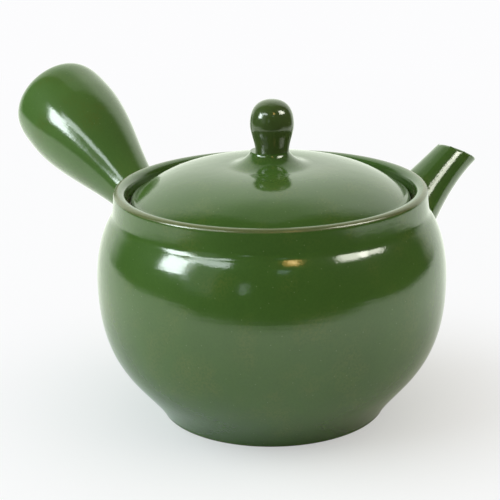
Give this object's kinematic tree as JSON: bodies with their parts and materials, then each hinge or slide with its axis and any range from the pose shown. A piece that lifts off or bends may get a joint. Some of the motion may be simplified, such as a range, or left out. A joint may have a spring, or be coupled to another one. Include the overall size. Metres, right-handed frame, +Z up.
{
  "type": "side-handled teapot",
  "caption": "Glazed side-handled teapot with a round bowl, flared spout, pierced strainer, hollow handle and knobbed lid that lifts off.",
  "frame": {"origin": "centre of the foot ring, on the plane the teapot stands on", "axes": "+Z up along the axis the bowl was turned on, +X along the spout, +Y along the handle"},
  "size_m": [0.1482, 0.1812, 0.0999],
  "materials": {
    "green_glaze": "gloss",
    "strainer_clay": "satin"
  },
  "bodies": {
    "pot": {"bowl": "green_glaze", "spout": "green_glaze", "strainer": "strainer_clay", "handle": "green_glaze"},
    "lid": {"lid": "green_glaze", "knob": "green_glaze"}
  },
  "joints": [
    {"name": "lid_lift", "type": "slide", "parent": "pot", "child": "lid", "axis": [0, 0, 1], "range_m": [0, 0.06]}
  ]
}
